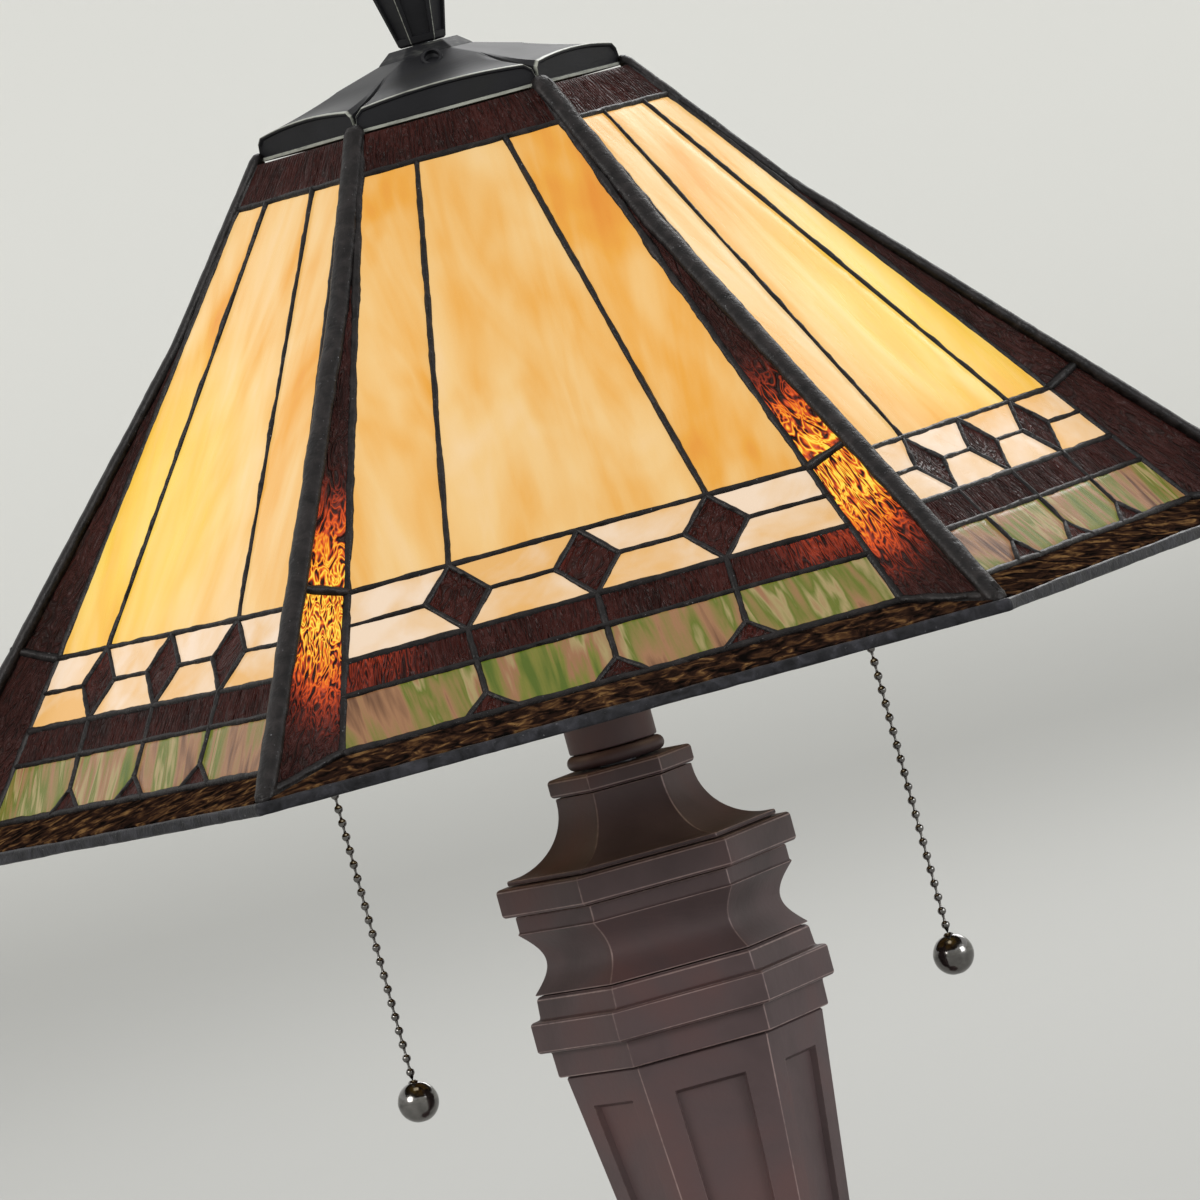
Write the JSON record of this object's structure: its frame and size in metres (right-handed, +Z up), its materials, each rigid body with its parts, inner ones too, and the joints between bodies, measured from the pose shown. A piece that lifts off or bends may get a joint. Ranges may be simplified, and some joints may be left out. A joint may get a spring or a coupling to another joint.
{
  "type": "stained glass table lamp",
  "caption": "Table lamp with a folded hexagonal stained glass shade on a stepped, tapering hexagonal bronze column, lit by a bulb cluster with pull chains.",
  "frame": {"origin": "on the table, under the lamp's vertical axis, at the underside of the felt pad", "axes": "+Z up along the column; -Y towards the shade's front face; +X towards the shade's right-hand corner"},
  "size_m": [0.406, 0.3516, 0.5953],
  "materials": {
    "felt": "dense black felt",
    "plain_steel": "zinc-plated, dull",
    "cast_iron": "rough casting",
    "russet_bronze": "dark russet bronze with lighter worn edges",
    "blackened_bronze": "blackened bronze with a soft sheen",
    "brass": "aged brass",
    "socket_metal": "antiqued brass",
    "opal_glass": "streaky cream, peach and amber opal glass, leaded, with olive and brown rows at the foot",
    "amber_glass": "rippled transparent amber and brown glass",
    "brown_glass": "mottled dark brown glass",
    "leaded_rim": "dark patinated solder, uneven",
    "bulb_glass": "warm white frosted, lit",
    "bulb_cap": "threaded shell",
    "dark_nickel": "blackened nickel"
  },
  "bodies": {
    "stand": {"felt_pad": "felt", "base_cover": "plain_steel", "base_weight": "cast_iron", "base_nut": "plain_steel", "base_foot": "russet_bronze", "base_step": "russet_bronze", "base_sweep": "russet_bronze", "base_collar": "russet_bronze", "shaft": "russet_bronze", "capital_ledge": "russet_bronze", "capital_cove": "russet_bronze", "capital_plate": "russet_bronze", "capital_sweep": "russet_bronze", "neck_plate": "russet_bronze", "neck_collar": "russet_bronze", "neck_tube": "russet_bronze", "cord_bushing": "dark_nickel", "lamp_rod": "plain_steel", "cluster_hub": "brass", "shade_seat": "plain_steel", "arm_left": "brass", "socket_cap_left": "socket_metal", "socket_shell_left": "socket_metal", "chain_guide_left": "brass", "arm_right": "brass", "socket_cap_right": "socket_metal", "socket_shell_right": "socket_metal", "chain_guide_right": "brass"},
    "shade": {"panel_front": "opal_glass", "border_front": "brown_glass", "panel_front_right": "opal_glass", "border_front_right": "brown_glass", "panel_back_right": "opal_glass", "border_back_right": "brown_glass", "panel_back": "opal_glass", "border_back": "brown_glass", "panel_back_left": "opal_glass", "border_back_left": "brown_glass", "panel_front_left": "opal_glass", "border_front_left": "brown_glass", "hip_front_right": "amber_glass", "hip_right": "amber_glass", "hip_back_right": "amber_glass", "hip_back_left": "amber_glass", "hip_left": "amber_glass", "hip_front_left": "amber_glass", "rim_channel": "leaded_rim", "shade_cap": "blackened_bronze"},
    "finial": {"finial": "blackened_bronze", "finial_crown": "blackened_bronze"},
    "bulb_left": {"bulb_glass_left": "bulb_glass", "bulb_cap_left": "bulb_cap"},
    "pull_left": {"pull_link_left": "dark_nickel"},
    "chain_left": {"pull_chain_left": "dark_nickel", "chain_knob_left": "dark_nickel"},
    "bulb_right": {"bulb_glass_right": "bulb_glass", "bulb_cap_right": "bulb_cap"},
    "pull_right": {"pull_link_right": "dark_nickel"},
    "chain_right": {"pull_chain_right": "dark_nickel", "chain_knob_right": "dark_nickel"}
  },
  "joints": [
    {"name": "shade_turn", "type": "hinge", "parent": "stand", "child": "shade", "pos_m": [0, 0, 0.54], "axis": [0, 0, 1], "continuous": true},
    {"name": "finial_turn", "type": "hinge", "parent": "stand", "child": "finial", "pos_m": [0, 0, 0.552], "axis": [0, 0, 1], "continuous": true},
    {"name": "bulb_left_turn", "type": "hinge", "parent": "stand", "child": "bulb_left", "pos_m": [-0.066, 0, 0.452], "axis": [0, 0, 1], "continuous": true},
    {"name": "pull_left_slide", "type": "slide", "parent": "stand", "child": "pull_left", "axis": [0, 0, -1], "range_m": [0, 0.008], "stiffness_N_per_m": 300, "springref_m": -0.002},
    {"name": "chain_left_swing", "type": "hinge", "parent": "pull_left", "child": "chain_left", "pos_m": [-0.0775, 0.025, 0.43935], "axis": [0, 1, 0], "range_deg": [-8, 25]},
    {"name": "bulb_right_turn", "type": "hinge", "parent": "stand", "child": "bulb_right", "pos_m": [0.066, 0, 0.452], "axis": [0, 0, 1], "continuous": true},
    {"name": "pull_right_slide", "type": "slide", "parent": "stand", "child": "pull_right", "axis": [0, 0, -1], "range_m": [0, 0.008], "stiffness_N_per_m": 300, "springref_m": -0.002},
    {"name": "chain_right_swing", "type": "hinge", "parent": "pull_right", "child": "chain_right", "pos_m": [0.0775, 0.025, 0.43935], "axis": [0, -1, 0], "range_deg": [-8, 25]}
  ]
}
